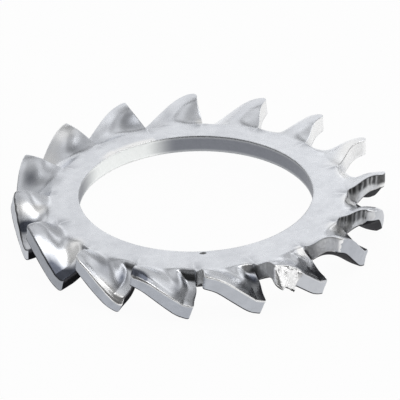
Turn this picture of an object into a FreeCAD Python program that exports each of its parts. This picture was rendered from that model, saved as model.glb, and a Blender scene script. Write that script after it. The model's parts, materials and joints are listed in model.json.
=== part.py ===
import FreeCAD, Part
import math
import os

# Lock washer with twisted outer teeth, one piece of sheet spring steel, in millimetres.
# The origin is the centre of the bore, halfway through the ring's thickness, and +Z is up.
# Tooth 0 points along +X. Slits sheared in from the rim part the teeth, and each tooth is
# pressed into an S about its own radial line: seen from above, its clockwise edge is raised
# and its counter-clockwise edge hangs below the ring.

# Driving dimensions: the flat blank
bore_diameter = 13.0
ring_width = 1.55
tooth_length = 2.2
thickness = 1.0
tooth_count = 16
slit_width = 0.08
bore_chamfer = 0.1

# Driving dimensions: the S of a pressed tooth, measured across it at the rim
# A wide bend leads from the raised edge to the steep middle, and a tight one from there to
# the land, the nearly flat strip along the lowered edge.
raised_bend = 1.3
lowered_bend = 0.55
lowered_land = 0.5
raised_edge_slope = 7.0
middle_slope = 41.0
lowered_land_slope = 20.0

# Driving dimensions: how the S grows from the root outwards
raised_edge_run = 1.9
middle_run = 1.4
lowered_land_run = 1.0
tooth_drop = 0.16
tooth_shift = 0.12

# Driving dimensions: the rim
rim_thickness = 0.88
rim_flare = 0.1

# Where a tooth's cross-sections lie, as shares of the way from its root to past the rim
section_shares = (0, 0.25, 0.7, 1)

# Sizes that follow
bore_radius = bore_diameter / 2
root_distance = bore_radius + ring_width
rim_radius = root_distance + tooth_length
half_pitch = math.pi / tooth_count
root_corner_radius = root_distance / math.cos(half_pitch)
section_reach = rim_radius + thickness / 2
up = FreeCAD.Vector(0, 0, 1)
centre = FreeCAD.Vector(0, 0, 0)


def ease(share):
    """Smooth rise from 0 to 1 as the share goes from 0 to 1, and level beyond both ends."""
    share = min(max(share, 0.0), 1.0)
    return share * share * (3 - 2 * share)


def tooth_width(distance):
    """Width of a tooth in the flat blank, at a distance from the axis."""
    return 2 * distance * math.tan(half_pitch) - slit_width


def sheet_thickness(distance):
    """Thickness of the sheet, which the press thins from the root to the rim."""
    share = ease((distance - root_distance) / tooth_length)
    return thickness - (thickness - rim_thickness) * share


def spans(distance):
    """The four spans across a tooth, as length, slope at the start and slope at the end.

    They run from the raised edge to the lowered edge: the wide bend, the steep middle, the
    tight bend and the land. A slope is in radians, falling along the span.
    """
    depth = distance - root_distance
    raised_slope = math.radians(raised_edge_slope) * ease(depth / raised_edge_run)
    steep_slope = math.radians(middle_slope) * ease(depth / middle_run)
    lowered_slope = math.radians(lowered_land_slope) * ease(depth / lowered_land_run)
    fan = tooth_width(distance) / tooth_width(rim_radius)
    steep_width = tooth_width(rim_radius) - raised_bend - lowered_bend - lowered_land
    return [
        (raised_bend * fan, raised_slope, steep_slope),
        (steep_width * fan, steep_slope, steep_slope),
        (lowered_bend * fan, steep_slope, lowered_slope),
        (lowered_land * fan, lowered_slope, lowered_slope),
    ]


def step_along(length, start_slope, end_slope):
    """Sideways and upward travel along a span whose slope changes evenly, as on an arc."""
    turn = end_slope - start_slope
    if abs(turn) < 1e-6:
        return length * math.cos(start_slope), -length * math.sin(start_slope)
    radius = length / turn
    sideways = radius * (math.sin(end_slope) - math.sin(start_slope))
    upward = radius * (math.cos(end_slope) - math.cos(start_slope))
    return sideways, upward


def span_ends(distance):
    """Sideways places and heights of the five ends of the spans, halfway through the sheet.

    The steep middle stays where it was in the flat blank, apart from a small shift and drop.
    """
    lengths = [length for length, start_slope, end_slope in spans(distance)]
    ends = [(0.0, 0.0)]
    for span in spans(distance):
        sideways, upward = step_along(*span)
        ends.append((ends[-1][0] + sideways, ends[-1][1] + upward))
    share = ease((distance - root_distance) / lowered_land_run)
    flat_place = lengths[0] + lengths[1] / 2 - tooth_width(distance) / 2
    place = flat_place + tooth_shift * share - (ends[1][0] + ends[2][0]) / 2
    height = -tooth_drop * share - (ends[1][1] + ends[2][1]) / 2
    return [(y + place, z + height) for y, z in ends]


def face_edges(distance, side):
    """Edges along the sheet's upper (side 1) or lower (side -1) face, one for each span."""
    offset = side * sheet_thickness(distance) / 2
    ends = span_ends(distance)
    edges = []
    for index, (length, start_slope, end_slope) in enumerate(spans(distance)):
        handle = (length + offset * (end_slope - start_slope)) / 3
        poles = []
        for end, slope, reach in (
            (index, start_slope, 0),
            (index, start_slope, handle),
            (index + 1, end_slope, -handle),
            (index + 1, end_slope, 0),
        ):
            y = ends[end][0] + offset * math.sin(slope) + reach * math.cos(slope)
            z = ends[end][1] + offset * math.cos(slope) - reach * math.sin(slope)
            poles.append(FreeCAD.Vector(distance, y, z))
        curve = Part.BezierCurve()
        curve.setPoles(poles)
        edges.append(curve.toShape())
    return edges


def tooth_section(distance):
    """Closed outline of a tooth, cut square to its radial line at a distance from the axis."""
    upper = face_edges(distance, 1)
    lower = face_edges(distance, -1)
    raised_end = Part.LineSegment(lower[0].Vertexes[0].Point, upper[0].Vertexes[0].Point)
    lowered_end = Part.LineSegment(upper[-1].Vertexes[-1].Point, lower[-1].Vertexes[-1].Point)
    outline = upper + [lowered_end.toShape()] + lower[::-1] + [raised_end.toShape()]
    return Part.Wire(Part.__sortEdges__(outline))


def rim_cone():
    """Solid that the tooth ends are cut to: it widens upwards, as the raised corners do."""
    low_radius = rim_radius - rim_flare * section_reach / 2
    high_radius = rim_radius + rim_flare * section_reach / 2
    foot = FreeCAD.Vector(0, 0, -section_reach / 2)
    cone = Part.makeCone(low_radius, high_radius, section_reach, foot, up)
    cone.rotate(centre, up, 180)
    return cone


def tooth():
    """One twisted tooth on +X, lofted from its root to past the rim and cut off there."""
    full_reach = section_reach - root_distance
    sections = [tooth_section(root_distance + share * full_reach) for share in section_shares]
    smooth, widest_degree = False, 3
    blank = Part.makeLoft(sections, True, smooth, False, widest_degree)
    return blank.common(rim_cone())


def ring():
    """Flat ring with a chamfered bore, whose rim has one flat for each tooth."""
    corners = []
    for count in range(tooth_count + 1):
        turn = FreeCAD.Rotation(up, math.degrees(half_pitch * (2 * count - 1)))
        corners.append(turn.multVec(FreeCAD.Vector(root_corner_radius, 0, -thickness / 2)))
    plate = Part.Face(Part.makePolygon(corners)).extrude(up * thickness)
    plate = plate.cut(Part.makeCylinder(bore_radius, 2 * thickness, -up * thickness, up))
    bore_edges = [edge for edge in plate.Edges if isinstance(edge.Curve, Part.Circle)]
    return plate.makeChamfer(bore_chamfer, bore_edges)


def washer():
    """The ring with a tooth on each of its flats, as one solid."""
    first = tooth()
    teeth = []
    for count in range(tooth_count):
        copy = first.copy()
        copy.rotate(centre, up, math.degrees(2 * half_pitch * count))
        teeth.append(copy)
    return ring().multiFuse(teeth).removeSplitter()


os.makedirs("parts", exist_ok=True)
body = washer()
body.exportStep("parts/lock_washer.step")
print("solids", len(body.Solids), "valid", body.isValid(), "volume", round(body.Volume, 3))
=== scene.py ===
import json
import logging
import math
from dataclasses import dataclass, field, fields
from enum import Enum

import bpy
import numpy as np
from mathutils import Matrix, Vector, noise


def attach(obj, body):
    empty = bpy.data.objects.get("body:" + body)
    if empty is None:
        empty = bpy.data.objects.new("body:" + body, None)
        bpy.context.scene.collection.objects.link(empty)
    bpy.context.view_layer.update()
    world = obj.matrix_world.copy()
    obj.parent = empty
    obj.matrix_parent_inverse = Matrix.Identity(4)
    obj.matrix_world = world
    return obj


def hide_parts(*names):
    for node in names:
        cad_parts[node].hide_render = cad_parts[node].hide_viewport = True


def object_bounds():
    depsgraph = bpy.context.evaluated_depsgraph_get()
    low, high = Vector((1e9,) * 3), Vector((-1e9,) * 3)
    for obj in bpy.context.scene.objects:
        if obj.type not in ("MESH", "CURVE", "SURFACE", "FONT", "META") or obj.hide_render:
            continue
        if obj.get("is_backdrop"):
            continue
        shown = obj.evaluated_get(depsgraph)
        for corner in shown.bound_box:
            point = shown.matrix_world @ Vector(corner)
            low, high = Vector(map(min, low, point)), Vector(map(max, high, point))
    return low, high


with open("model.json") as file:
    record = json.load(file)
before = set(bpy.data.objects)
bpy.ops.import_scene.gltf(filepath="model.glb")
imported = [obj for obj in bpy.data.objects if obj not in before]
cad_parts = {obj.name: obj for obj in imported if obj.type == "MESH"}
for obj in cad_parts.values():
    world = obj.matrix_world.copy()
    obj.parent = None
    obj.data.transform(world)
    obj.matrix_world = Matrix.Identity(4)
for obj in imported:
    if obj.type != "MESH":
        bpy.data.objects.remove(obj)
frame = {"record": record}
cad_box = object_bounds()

log = logging.getLogger("lock_washer")

MM = 0.001
TINY = 0.001
WHITE = (1.0, 1.0, 1.0, 1.0)
PIECE_NAME = "toothed_washer"
CAD_NODE = "lock_washer"
BODY_NAME = "root"
SLOT_NAME = "zinc_plated_steel"

Amount = float | np.ndarray
Colour = tuple[float, float, float, float]
Span = tuple[np.ndarray, np.ndarray, np.ndarray]


class Mark(Enum):
    """Names of what every point of the sheet carries through the pressing."""

    OUT = "out"
    ACROSS = "across"
    DEPTH = "depth"
    TOOTH = "tooth"
    EDGE_GAP = "edge_gap"
    FLAT_PLACE = "flat_place"
    STREAKS = "streaks"
    SHINE = "shine"
    TORN = "torn"
    BURR = "burr"
    RIM_LIGHT = "rim_light"
    RIM_SHINE = "rim_shine"
    CORNER_LIGHT = "corner_light"
    SMUDGE = "smudge"


class Element(Enum):
    """The kinds of mesh element that are picked for editing."""

    POINT = "VERT"
    EDGE = "EDGE"
    FACE = "FACE"


def ease(share: np.ndarray) -> np.ndarray:
    """Smooth rise from 0 to 1 as the share goes from 0 to 1, level beyond both ends.

    Args:
        share: The shares, as an array of any shape.

    Returns:
        The eased shares, in the same shape.
    """
    held = np.clip(share, 0.0, 1.0)
    return held * held * (3 - 2 * held)


def direction(bearing: float, elevation: float) -> Vector:
    """The direction in which a lamp or the camera stands, seen from the washer.

    Args:
        bearing: Degrees round the axis from the middle of tooth 0.
        elevation: Degrees above the plane of the ring.

    Returns:
        A vector of length 1.
    """
    turn, rise = math.radians(bearing), math.radians(elevation)
    level = math.cos(rise)
    return Vector((level * math.cos(turn), level * math.sin(turn), math.sin(rise)))


@dataclass(frozen=True)
class Blank:
    """The flat blank that the washer is pressed from, in millimetres.

    Attributes:
        bore_radius: Radius of the bore.
        thickness: Thickness of the sheet.
        ring_width: From the bore to the roots of the teeth.
        tooth_length: From the roots to the rim.
        tooth_count: Number of teeth.
        slit_width: Width of the slits that part the teeth.
        slit_root_run: How far out from its root a slit reaches that width.
        lowered_corner_radius: Radius of the rim's lowered corners, seen from above.
        teeth_off_centre: How far the ring of teeth is sheared off the bore's centre.
    """

    bore_radius: float
    thickness: float
    ring_width: float = 1.55
    tooth_length: float = 2.2
    tooth_count: int = 16
    slit_width: float = 0.08
    slit_root_run: float = 0.1
    lowered_corner_radius: float = 0.1
    teeth_off_centre: tuple[float, float] = (0.127, -0.283)

    @property
    def root_distance(self) -> float:
        """Distance of the tooth roots from the axis."""
        return self.bore_radius + self.ring_width

    @property
    def rim_radius(self) -> float:
        """Radius of the rim."""
        return self.root_distance + self.tooth_length

    @property
    def half_pitch(self) -> float:
        """Half the angle between two teeth, in radians."""
        return math.pi / self.tooth_count

    def width(self, distance: np.ndarray) -> np.ndarray:
        """Width of a tooth at distances from the axis; the slit beside it opens from its root."""
        opened = np.clip((distance - self.root_distance) / self.slit_root_run, 0.0, 1.0)
        return 2 * distance * math.tan(self.half_pitch) - self.slit_width * opened

    def rim_width(self) -> float:
        """Width of a tooth at the rim."""
        return float(self.width(np.array(self.rim_radius)))

    def ring_place(self, out: np.ndarray, across: np.ndarray) -> tuple[np.ndarray, np.ndarray]:
        """Flat places of points of the ring, in the frame of their tooth.

        Args:
            out: -1 on the bore, 0 on the root line.
            across: -1 on the clockwise side of the sector, 1 on the other.

        Returns:
            The distances along the tooth's radial line and the sideways places.
        """
        inner_x = self.bore_radius * np.cos(across * self.half_pitch)
        inner_y = self.bore_radius * np.sin(across * self.half_pitch)
        outer_y = across * self.root_distance * math.tan(self.half_pitch)
        share = out + 1
        return (
            inner_x + (self.root_distance - inner_x) * share,
            inner_y + (outer_y - inner_y) * share,
        )

    def flat_place(self, out: np.ndarray, across: np.ndarray) -> tuple[np.ndarray, np.ndarray]:
        """Places anywhere in the flat blank, in the frame of their tooth.

        Args:
            out: -1 on the bore, 0 on the root line, 1 on the rim.
            across: -1 and 1 on the two sides.

        Returns:
            The distances along the tooth's radial line and the sideways places.
        """
        ring_x, ring_y = self.ring_place(np.minimum(out, 0), across)
        rim_x = np.sqrt(self.rim_radius**2 - (across * self.rim_width() / 2) ** 2)
        tooth_x = self.root_distance + np.maximum(out, 0) * (rim_x - self.root_distance)
        tooth_y = across * self.width(tooth_x) / 2
        return np.where(out > 0, tooth_x, ring_x), np.where(out > 0, tooth_y, ring_y)


@dataclass(frozen=True)
class Press:
    """The press tool: the S that it gives a tooth, measured across the tooth at the rim.

    Lengths are in millimetres and slopes in radians, falling towards the lowered edge.

    Attributes:
        raised_bend: Length of the wide bend along the raised edge.
        crease: Length of the tight bend.
        land: Width of the nearly flat strip along the lowered edge.
        raised_slope: Slope at the raised edge.
        middle_slope: Slope of the steep middle.
        land_slope: Slope of the land.
        raised_run: How far out from the root the raised edge reaches its slope.
        middle_run: The same for the middle.
        land_run: The same for the land, and for the drop and the shift.
        drop: How far the steep middle is pressed down.
        shift: How far it moves sideways.
        rim_thickness: Thickness of the sheet at the rim.
        rim_flare: How much further out the rim lies for each millimetre of height.
        step_run: How far out from the root the sheared step is deepest.
        step_fade: How far it takes to fade from there.
        step_width: Width of the step along the lowered edge.
        step_blend: How far it takes to blend into the tooth.
    """

    raised_bend: float = 1.3
    crease: float = 0.14
    land: float = 0.62
    raised_slope: float = math.radians(7.0)
    middle_slope: float = math.radians(41.0)
    land_slope: float = math.radians(20.0)
    raised_run: float = 1.9
    middle_run: float = 1.4
    land_run: float = 1.0
    drop: float = 0.16
    shift: float = 0.12
    rim_thickness: float = 0.91
    rim_flare: float = 0.1
    step_run: float = 0.22
    step_fade: float = 1.1
    step_width: float = 0.55
    step_blend: float = 0.35

    def spans(self, blank: Blank, distance: np.ndarray, own: "Traits") -> list[Span]:
        """The four spans across a tooth, from the raised edge to the lowered edge.

        Args:
            blank: The flat blank.
            distance: Distances from the axis.
            own: The traits of each point's own tooth, as arrays.

        Returns:
            For each span its length, its slope at the start and its slope at the end.
        """
        depth = distance - blank.root_distance
        raised = self.raised_slope * ease(depth / self.raised_run) * own.twist
        middle = self.middle_slope * ease(depth / self.middle_run) * own.twist
        landed = self.land_slope * ease(depth / self.land_run) * own.twist
        fan = blank.width(distance) / blank.rim_width()
        crease, land = self.crease + own.soft, self.land - own.soft / 2
        steep_width = blank.rim_width() - self.raised_bend - crease - land
        return [
            (self.raised_bend * fan, raised, middle),
            (steep_width * fan, middle, middle),
            (crease * fan, middle, landed),
            (land * fan, landed, landed),
        ]

    @staticmethod
    def travel(
        length: np.ndarray, start: np.ndarray, end: np.ndarray
    ) -> tuple[np.ndarray, np.ndarray]:
        """Travel along stretches whose slope changes evenly, as on an arc.

        Args:
            length: Lengths of the stretches.
            start: Slopes at their starts.
            end: Slopes at their ends.

        Returns:
            How far they lead sideways and upwards.
        """
        turn = end - start
        bent = np.abs(turn) > 1e-6
        radius = np.where(bent, length / np.where(bent, turn, 1.0), 0.0)
        sideways = np.where(bent, radius * (np.sin(end) - np.sin(start)), length * np.cos(start))
        upward = np.where(bent, radius * (np.cos(end) - np.cos(start)), -length * np.sin(start))
        return sideways, upward

    def pressed(
        self,
        blank: Blank,
        distance: np.ndarray,
        across: np.ndarray,
        depth: np.ndarray,
        own: "Traits",
    ) -> tuple[np.ndarray, np.ndarray]:
        """Where points of a tooth end up, in the plane square to its radial line.

        Args:
            blank: The flat blank.
            distance: Distances from the axis, along the tooth's radial line.
            across: -1 on the raised edge, 1 on the lowered edge.
            depth: 1 on the upper face of the sheet, -1 on the lower face.
            own: The traits of each point's own tooth, as arrays.

        Returns:
            The sideways places and the heights.
        """
        width = blank.width(distance)
        along = (across + 1) / 2 * width
        y, z = np.zeros_like(distance), np.zeros_like(distance)
        middle_y, middle_z = np.zeros_like(distance), np.zeros_like(distance)
        passed = np.zeros_like(distance)
        spans = self.spans(blank, distance, own)
        slope = spans[0][1].copy()
        for index, (length, start, end) in enumerate(spans):
            part = np.clip(along - passed, 0.0, length)
            reached = start + (end - start) * part / length
            sideways, upward = self.travel(part, start, reached)
            y, z, slope = y + sideways, z + upward, slope + reached - start
            if index < 2:
                # What stays put is the place halfway along the steep middle, the second span
                share = 1.0 if index == 0 else 0.5
                sideways, upward = self.travel(length * share, start, start + (end - start) * share)
                middle_y, middle_z = middle_y + sideways, middle_z + upward
            passed = passed + length
        run = distance - blank.root_distance
        settled = ease(run / self.land_run)
        flat_middle = spans[0][0] + spans[1][0] / 2 - width / 2
        y += flat_middle + self.shift * settled - middle_y
        z -= self.drop * settled + middle_z + own.drop * ease(run / blank.tooth_length)
        z -= own.step * self.step_down(run, (1 - across) / 2 * width)
        thinned = ease(run / blank.tooth_length)
        half = (blank.thickness - (blank.thickness - self.rim_thickness) * thinned) / 2
        return y + depth * half * np.sin(slope), z + depth * half * np.cos(slope)

    def step_down(self, run: np.ndarray, from_edge: np.ndarray) -> np.ndarray:
        """Where the land is sheared down beside the slit's root, beyond the S.

        Args:
            run: Distances outwards from the root line.
            from_edge: Distances from the lowered edge.

        Returns:
            1 where the step is deepest, 0 where there is none.
        """
        rise = ease(run / self.step_run)
        fade = 1 - ease((run - self.step_run) / self.step_fade)
        beside = 1 - ease((from_edge - self.step_width) / self.step_blend)
        return rise * fade * beside


@dataclass(frozen=True)
class Traits:
    """How one tooth came out of the press; lengths in millimetres.

    Attributes:
        twist: Strength of the S, 1 being the usual.
        drop: How much lower the whole tooth hangs at the rim.
        longer: How much further out its rim lies.
        drawn_back: How far its raised edge is drawn back towards the lowered one.
        blunt: Radius of its raised corner, seen from above.
        step: Depth of the sheared step beside the root of its lowered edge.
        bevel: How far the upper edge of its rim lies inside the lower edge, at the raised end.
        roll: How far the upper face rolls down to the rim.
        roll_lean: How much more it rolls at the lowered edge; below 0, at the raised one.
        streaks: How dark and torn the upper part of its raised flank is, from 0 to 1.
        shine: How bright the rest of that flank is, from 0 to 1: burnish with a painted highlight,
            set tooth by tooth.
        rim_light: How bright the painted highlight line along the upper edge of the rim is; below 0
            it is a painted shade line.
        rim_shine: How bright a painted highlight on the rim is, from 0 to 1; below 0, how dark its
            painted shade is.
        corner_light: How bright the painted highlight line down the raised corner of the rim is.
        torn_back: How far the upper edge of its raised flank is torn back beside the root.
        tuck: How far the lower face rolls up to the rim.
        soft: How much wider than usual the tight bend beside its land is.
    """

    twist: Amount = 1.0
    drop: Amount = 0.0
    longer: Amount = 0.0
    drawn_back: Amount = 0.0
    blunt: Amount = 0.2
    step: Amount = 0.12
    bevel: Amount = 0.0
    roll: Amount = 0.03
    roll_lean: Amount = 0.0
    streaks: Amount = 0.5
    shine: Amount = 0.5
    rim_light: Amount = 0.0
    rim_shine: Amount = 0.0
    corner_light: Amount = 0.0
    torn_back: Amount = 0.0
    tuck: Amount = 0.0
    soft: Amount = 0.0

    @classmethod
    def spread(cls, teeth: "dict[int, Traits]", tooth: np.ndarray) -> "Traits":
        """The traits of every point's own tooth.

        Args:
            teeth: The traits of the teeth that differ from the usual.
            tooth: The number of each point's tooth.

        Returns:
            Traits whose values are arrays, with one number for each point.
        """
        number, usual = np.rint(tooth).astype(int), cls()
        table = [teeth.get(index, usual) for index in range(number.max() + 1)]
        names = [item.name for item in fields(cls)]
        return cls(*(np.array([getattr(row, name) for row in table])[number] for name in names))


# Tooth 0 points along +X, at the right of the picture, and they are numbered anticlockwise
TEETH = {
    0: Traits(twist=1.06, drop=0.1, blunt=0.3, streaks=1.0, shine=0.9, torn_back=0.45, tuck=0.1),
    1: Traits(twist=1.03, step=0.05, streaks=0.0, shine=1.0, rim_shine=1.0),
    2: Traits(step=0.03, streaks=0.0, shine=1.0, rim_shine=1.0, soft=0.8),
    3: Traits(
        longer=0.1, drawn_back=-0.14, step=0.03, streaks=0.0, shine=0.95, rim_shine=0.5, soft=0.9
    ),
    4: Traits(
        longer=0.08, drawn_back=-0.16, blunt=0.35, step=0.03, streaks=0.0, shine=0.95, soft=0.6
    ),
    5: Traits(longer=0.05, blunt=0.05, step=0.03, soft=0.95),
    6: Traits(twist=0.94, drop=-0.05, longer=0.05, blunt=0.05, step=0.03, soft=0.95),
    7: Traits(
        twist=0.88, drop=-0.02, longer=0.05, drawn_back=0.05, blunt=0.05, step=0.03, soft=0.9
    ),
    8: Traits(
        drop=0.08,
        longer=0.03,
        drawn_back=0.18,
        blunt=0.3,
        step=0.05,
        bevel=0.14,
        rim_light=-0.8,
        rim_shine=0.2,
        soft=0.4,
    ),
    9: Traits(
        drop=0.1,
        longer=0.08,
        drawn_back=0.1,
        step=0.2,
        bevel=0.06,
        roll=0.06,
        rim_light=-0.5,
        rim_shine=-0.25,
    ),
    10: Traits(
        drop=0.12,
        longer=0.02,
        drawn_back=0.38,
        blunt=0.5,
        step=0.3,
        roll=0.17,
        roll_lean=0.8,
        rim_light=0.8,
    ),
    11: Traits(
        twist=0.94, drop=0.08, longer=0.02, step=0.5, roll=0.16, roll_lean=-0.9, rim_light=0.7
    ),
    12: Traits(
        drop=0.04,
        longer=0.06,
        step=0.36,
        roll=0.09,
        streaks=0.1,
        shine=0.4,
        rim_light=1.0,
        rim_shine=0.1,
    ),
    13: Traits(
        twist=0.95,
        drop=0.12,
        step=0.25,
        roll=0.12,
        streaks=0.1,
        shine=0.45,
        rim_light=0.3,
        rim_shine=0.25,
    ),
    14: Traits(
        twist=1.06,
        drop=0.08,
        drawn_back=0.3,
        blunt=0.3,
        step=0.15,
        streaks=0.1,
        shine=0.95,
        rim_shine=0.1,
        corner_light=1.0,
        torn_back=0.1,
    ),
    15: Traits(
        twist=1.02,
        drop=0.1,
        longer=0.04,
        blunt=0.5,
        step=0.35,
        roll=0.14,
        streaks=0.9,
        shine=0.55,
        rim_shine=0.3,
        corner_light=0.5,
        torn_back=0.6,
        tuck=0.22,
    ),
}


@dataclass(frozen=True)
class PaintedPatch:
    """A soft patch on the upper face: painted shade, and with a strength below 0 a painted
    highlight.

    Attributes:
        tooth: The number of its tooth.
        out: Where its middle lies, from 0 at the root to 1 at the rim; -1 is the bore.
        across: Where its middle lies, from -1 at the raised edge to 1 at the lowered edge.
        reach_out: Half its length, in the units of out.
        reach_across: Half its width, in the units of across.
        strength: How dark the painted shade is, above 1 with a dark middle; below 0 it is a painted
            highlight.
    """

    tooth: int
    out: float
    across: float
    reach_out: float
    reach_across: float
    strength: float

    def amount(self, out: np.ndarray, across: np.ndarray, tooth: np.ndarray) -> np.ndarray:
        """What the patch adds at each point.

        Args:
            out: -1 on the bore, 0 on the root line, 1 on the rim.
            across: -1 on the raised edge, 1 on the lowered edge.
            tooth: The number of each point's tooth.

        Returns:
            Numbers between 0 and the patch's strength.
        """
        run = (out - self.out) / self.reach_out
        side = (across - self.across) / self.reach_across
        return self.strength * (1 - ease(np.hypot(run, side))) * (np.rint(tooth) == self.tooth)


# Patches of painted shade, and below 0 of painted highlight, tooth by tooth
# Each line gives tooth, out, across, reach_out, reach_across and strength
PAINTED_PATCHES = (
    PaintedPatch(0, 0.15, 0.5, 0.3, 0.7, -1.0),
    PaintedPatch(1, 0.5, -0.9, 0.9, 0.6, -1.0),
    PaintedPatch(2, 0.4, 0.3, 0.8, 0.9, 0.2),
    PaintedPatch(3, 0.4, 0.2, 0.7, 0.9, 0.16),
    PaintedPatch(3, 0.9, 0.8, 0.4, 0.6, -0.8),
    PaintedPatch(4, 0.45, 0.5, 0.8, 0.5, 0.42),
    PaintedPatch(4, 0.6, -0.1, 0.5, 0.5, 0.25),
    PaintedPatch(4, 0.08, -0.95, 0.15, 0.25, -1.0),
    PaintedPatch(5, 0.35, -0.8, 0.5, 0.6, 0.65),
    PaintedPatch(5, 0.5, 0.5, 0.9, 0.6, 0.45),
    PaintedPatch(5, -1.0, 0.0, 0.35, 1.8, -1.5),
    PaintedPatch(6, 0.35, -0.45, 0.5, 0.6, 0.5),
    PaintedPatch(6, 0.9, 0.4, 0.6, 0.9, -0.9),
    PaintedPatch(6, 0.85, -0.7, 0.6, 0.6, -0.8),
    PaintedPatch(6, -1.0, -0.9, 0.35, 1.0, -1.5),
    PaintedPatch(7, 0.7, -0.28, 0.36, 0.5, 0.8),
    PaintedPatch(7, 0.2, 0.0, 0.5, 0.8, 0.4),
    PaintedPatch(7, 0.6, 0.4, 0.6, 0.6, 0.3),
    PaintedPatch(8, 0.8, 0.16, 0.5, 0.32, 1.8),
    PaintedPatch(8, 0.8, -0.4, 0.4, 0.35, -1.0),
    PaintedPatch(8, 0.45, -0.28, 0.4, 0.3, -1.3),
    PaintedPatch(9, 1.0, 0.6, 0.5, 0.95, 1.5),
    PaintedPatch(9, 0.6, 0.95, 0.5, 0.4, 1.0),
    PaintedPatch(9, 0.3, 0.4, 0.5, 0.5, -1.6),
    PaintedPatch(9, 0.35, -0.6, 0.5, 0.7, 0.25),
    PaintedPatch(10, 0.4, 0.56, 0.5, 0.3, 1.0),
    PaintedPatch(10, 1.0, 0.4, 0.35, 0.8, -1.8),
    PaintedPatch(10, 1.0, 0.9, 0.3, 0.4, -1.6),
    PaintedPatch(10, 0.45, -0.2, 0.6, 0.8, 0.6),
    PaintedPatch(11, 0.6, 0.3, 0.6, 0.25, 0.6),
    PaintedPatch(11, 0.95, -0.85, 0.32, 0.5, 2.2),
    PaintedPatch(12, 0.8, 0.55, 0.6, 0.75, 0.15),
    PaintedPatch(12, 0.25, 0.8, 0.26, 0.4, 1.2),
    PaintedPatch(12, 0.04, 0.75, 0.12, 0.25, -1.2),
    PaintedPatch(13, 0.85, 0.35, 0.6, 1.0, 0.92),
    PaintedPatch(13, 0.06, 0.9, 0.2, 0.3, -1.6),
    PaintedPatch(14, 0.12, 0.8, 0.35, 0.5, -1.0),
    PaintedPatch(15, 0.12, 0.7, 0.3, 0.6, -1.0),
)


@dataclass(frozen=True)
class Burr:
    """A torn, lumpy lip of metal at the raised end of one tooth's rim; lengths in millimetres.

    Attributes:
        tooth: The number of its tooth.
        middle: Where its middle lies, from -1 at the raised edge to 1 at the lowered edge.
        reach: Half its width, in the same units.
        start: Where it starts, as a share of the way from the root to the rim.
        rise: How far it takes to reach its full size, in the same units.
        outward: How far it stands out.
        splay: How much further the lower face stands out than the upper face.
        pressed: How far the upper face is pressed down.
        downward: How far the lower face is torn down.
        lumps: How uneven it is.
        lumps_in_a_millimetre: How close together its lumps are.
        fine_lumps: How uneven the smaller lumps on them are, as a share.
        fine_times: How much closer together those are.
    """

    tooth: int = 13
    middle: float = -0.62
    reach: float = 0.5
    start: float = 0.84
    rise: float = 0.15
    outward: float = 0.02
    splay: float = 0.6
    pressed: float = 0.04
    downward: float = 0.24
    lumps: float = 0.9
    lumps_in_a_millimetre: float = 2.0
    fine_lumps: float = 0.6
    fine_times: float = 2.7

    def amount(self, out: np.ndarray, across: np.ndarray, tooth: np.ndarray) -> np.ndarray:
        """How strongly each point belongs to the burr, from 0 to 1."""
        along = 1 - ease((np.abs(across - self.middle) - self.reach / 2) / (self.reach / 2))
        return (np.rint(tooth) == self.tooth) * ease((out - self.start) / self.rise) * along

    def moves(self, places: np.ndarray, amount: np.ndarray, depth: np.ndarray) -> np.ndarray:
        """How far each point is torn away.

        Args:
            places: The points' places.
            amount: How strongly each belongs to the burr.
            depth: 1 on the upper face of the sheet, -1 on the lower face.

        Returns:
            The moves, one row for each point.
        """
        moves = np.zeros_like(places)
        for index in np.flatnonzero(amount > 0):
            place = Vector(places[index]) * self.lumps_in_a_millimetre
            fine = self.fine_lumps * noise.noise(place * self.fine_times)
            lump = 1 + self.lumps * (noise.noise(place) + fine)
            side = places[index, :2] / np.hypot(*places[index, :2])
            above, below = (1 + depth[index]) / 2, (1 - depth[index]) / 2
            reach = self.outward + self.splay * (below - above) / 2
            fall = self.pressed * above + self.downward * below
            moves[index] = np.array([*(side * reach), -fall]) * amount[index] * lump
        return moves


@dataclass(frozen=True)
class Nick:
    """A small dent in the upper face beside the bore; lengths in millimetres.

    Attributes:
        bearing: Where it lies round the axis, in radians.
        from_edge: How far its middle lies from the bore.
        half_length: Half its length, round the axis.
        half_width: Half its width.
        depth: How deep it is.
    """

    bearing: float = math.radians(263.6)
    from_edge: float = 0.22
    half_length: float = 0.2
    half_width: float = 0.12
    depth: float = 0.05

    def centre(self, blank: Blank) -> tuple[float, float, float]:
        """The middle of the nick.

        Args:
            blank: The flat blank.

        Returns:
            Its place on the upper face.
        """
        radius = blank.bore_radius + self.from_edge
        x, y = radius * math.cos(self.bearing), radius * math.sin(self.bearing)
        return x, y, blank.thickness / 2

    def sink(self, blank: Blank, places: np.ndarray) -> np.ndarray:
        """How far the nick presses each point of the washer down.

        Args:
            blank: The flat blank.
            places: The points' places.

        Returns:
            The depths, one for each point.
        """
        offset = places - np.array(self.centre(blank))
        along = offset[:, 1] * math.cos(self.bearing) - offset[:, 0] * math.sin(self.bearing)
        inward = offset[:, 0] * math.cos(self.bearing) + offset[:, 1] * math.sin(self.bearing)
        away = np.sqrt((along / self.half_length) ** 2 + (inward / self.half_width) ** 2)
        return self.depth * (1 - ease(away)) * (offset[:, 2] > -self.half_width)


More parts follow.
